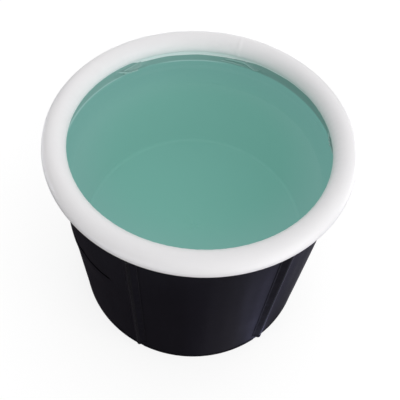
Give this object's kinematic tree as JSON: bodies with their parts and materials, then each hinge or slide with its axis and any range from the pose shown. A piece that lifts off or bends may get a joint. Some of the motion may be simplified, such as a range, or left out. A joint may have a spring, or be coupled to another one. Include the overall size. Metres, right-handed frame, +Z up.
{
  "type": "ice bath tub",
  "caption": "Portable soft-sided ice bath tub: a round insulated barrel with an air-filled ring on its rim, rods in welded sleeves round the wall, a capped drain and an air valve.",
  "frame": {"origin": "centre of the underside, on the surface that the tub stands on", "axes": "+Z up, along the barrel's axis; -Y to the front, midway between two rods; +X to the right, through a rod; the air valve is at +Y and the drain at -X"},
  "size_m": [0.804, 0.804, 0.675],
  "materials": {
    "black_sheet": "satin black PVC-coated cloth",
    "mint_liner": "smooth mint-green PVC sheet",
    "white_ring": "soft white PVC sheet, air filled",
    "foam": "closed-cell insulating foam",
    "rod_tube": "white PVC tube",
    "black_plastic": "moulded, fine grain",
    "black_rubber": "soft black rubber",
    "valve_plastic": "frosted soft vinyl"
  },
  "bodies": {
    "tub": {"outer_wall": "black_sheet", "wall_foam": "foam", "liner_wall": "mint_liner", "base_skin": "black_sheet", "base_foam": "foam", "liner_floor": "mint_liner", "air_ring": "white_ring", "outer_collar": "black_sheet", "inner_collar": "white_ring", "rod_sleeve_1": "black_sheet", "rod_sleeve_2": "black_sheet", "rod_sleeve_3": "black_sheet", "rod_sleeve_4": "black_sheet", "rod_sleeve_5": "black_sheet", "rod_sleeve_6": "black_sheet", "drain_fitting": "black_plastic", "drain_nut": "black_plastic", "drain_inner_gasket": "black_rubber", "drain_outer_gasket": "black_rubber", "valve_base": "valve_plastic"},
    "support_rod_1": {"rod_1": "rod_tube", "rod_foot_1": "black_plastic", "rod_cap_1": "black_plastic"},
    "support_rod_2": {"rod_2": "rod_tube", "rod_foot_2": "black_plastic", "rod_cap_2": "black_plastic"},
    "support_rod_3": {"rod_3": "rod_tube", "rod_foot_3": "black_plastic", "rod_cap_3": "black_plastic"},
    "support_rod_4": {"rod_4": "rod_tube", "rod_foot_4": "black_plastic", "rod_cap_4": "black_plastic"},
    "support_rod_5": {"rod_5": "rod_tube", "rod_foot_5": "black_plastic", "rod_cap_5": "black_plastic"},
    "support_rod_6": {"rod_6": "rod_tube", "rod_foot_6": "black_plastic", "rod_cap_6": "black_plastic"},
    "drain_washer": {"drain_cap_washer": "black_rubber"},
    "drain_screw_cap": {"drain_cap": "black_plastic"},
    "drain_stopper": {"drain_plug": "black_rubber"},
    "air_valve_seal": {"valve_seal": "black_rubber"},
    "air_valve_insert": {"valve_insert": "valve_plastic", "valve_flap": "black_rubber"},
    "air_valve_cap": {"valve_cap": "valve_plastic"}
  },
  "joints": [
    {"name": "rod_1_slide", "type": "slide", "parent": "tub", "child": "support_rod_1", "axis": [0, 0, -1], "range_m": [0, 0.555]},
    {"name": "rod_2_slide", "type": "slide", "parent": "tub", "child": "support_rod_2", "axis": [0, 0, -1], "range_m": [0, 0.555]},
    {"name": "rod_3_slide", "type": "slide", "parent": "tub", "child": "support_rod_3", "axis": [0, 0, -1], "range_m": [0, 0.555]},
    {"name": "rod_4_slide", "type": "slide", "parent": "tub", "child": "support_rod_4", "axis": [0, 0, -1], "range_m": [0, 0.555]},
    {"name": "rod_5_slide", "type": "slide", "parent": "tub", "child": "support_rod_5", "axis": [0, 0, -1], "range_m": [0, 0.555]},
    {"name": "rod_6_slide", "type": "slide", "parent": "tub", "child": "support_rod_6", "axis": [0, 0, -1], "range_m": [0, 0.555]},
    {"name": "drain_cap_travel", "type": "slide", "parent": "tub", "child": "drain_washer", "axis": [-0.9848, 0.1736, 0], "range_m": [0, 0.012]},
    {"name": "drain_cap_turn", "type": "hinge", "parent": "drain_washer", "child": "drain_screw_cap", "pos_m": [-0.38998, 0.06876, 0.052], "axis": [-0.9848, 0.1736, 0], "range_deg": [0, 1440]},
    {"name": "drain_plug_pull", "type": "slide", "parent": "tub", "child": "drain_stopper", "axis": [0.9848, -0.1736, 0], "range_m": [0, 0.03]},
    {"name": "valve_insert_travel", "type": "slide", "parent": "tub", "child": "air_valve_seal", "axis": [0, 0.5878, -0.809], "range_m": [0, 0.01]},
    {"name": "valve_insert_turn", "type": "hinge", "parent": "air_valve_seal", "child": "air_valve_insert", "pos_m": [0, 0.39257, 0.61668], "axis": [0, 0.5878, -0.809], "range_deg": [0, 1800]},
    {"name": "valve_cap_open", "type": "hinge", "parent": "air_valve_insert", "child": "air_valve_cap", "pos_m": [0.0108, 0.39337, 0.61559], "axis": [0, -0.809, -0.5878], "range_deg": [0, 150]}
  ],
  "couplings": [
    {"joint": "drain_cap_travel", "follows": "drain_cap_turn", "m_per_rad": 0.00047746},
    {"joint": "valve_insert_travel", "follows": "valve_insert_turn", "m_per_rad": 0.00031831}
  ]
}
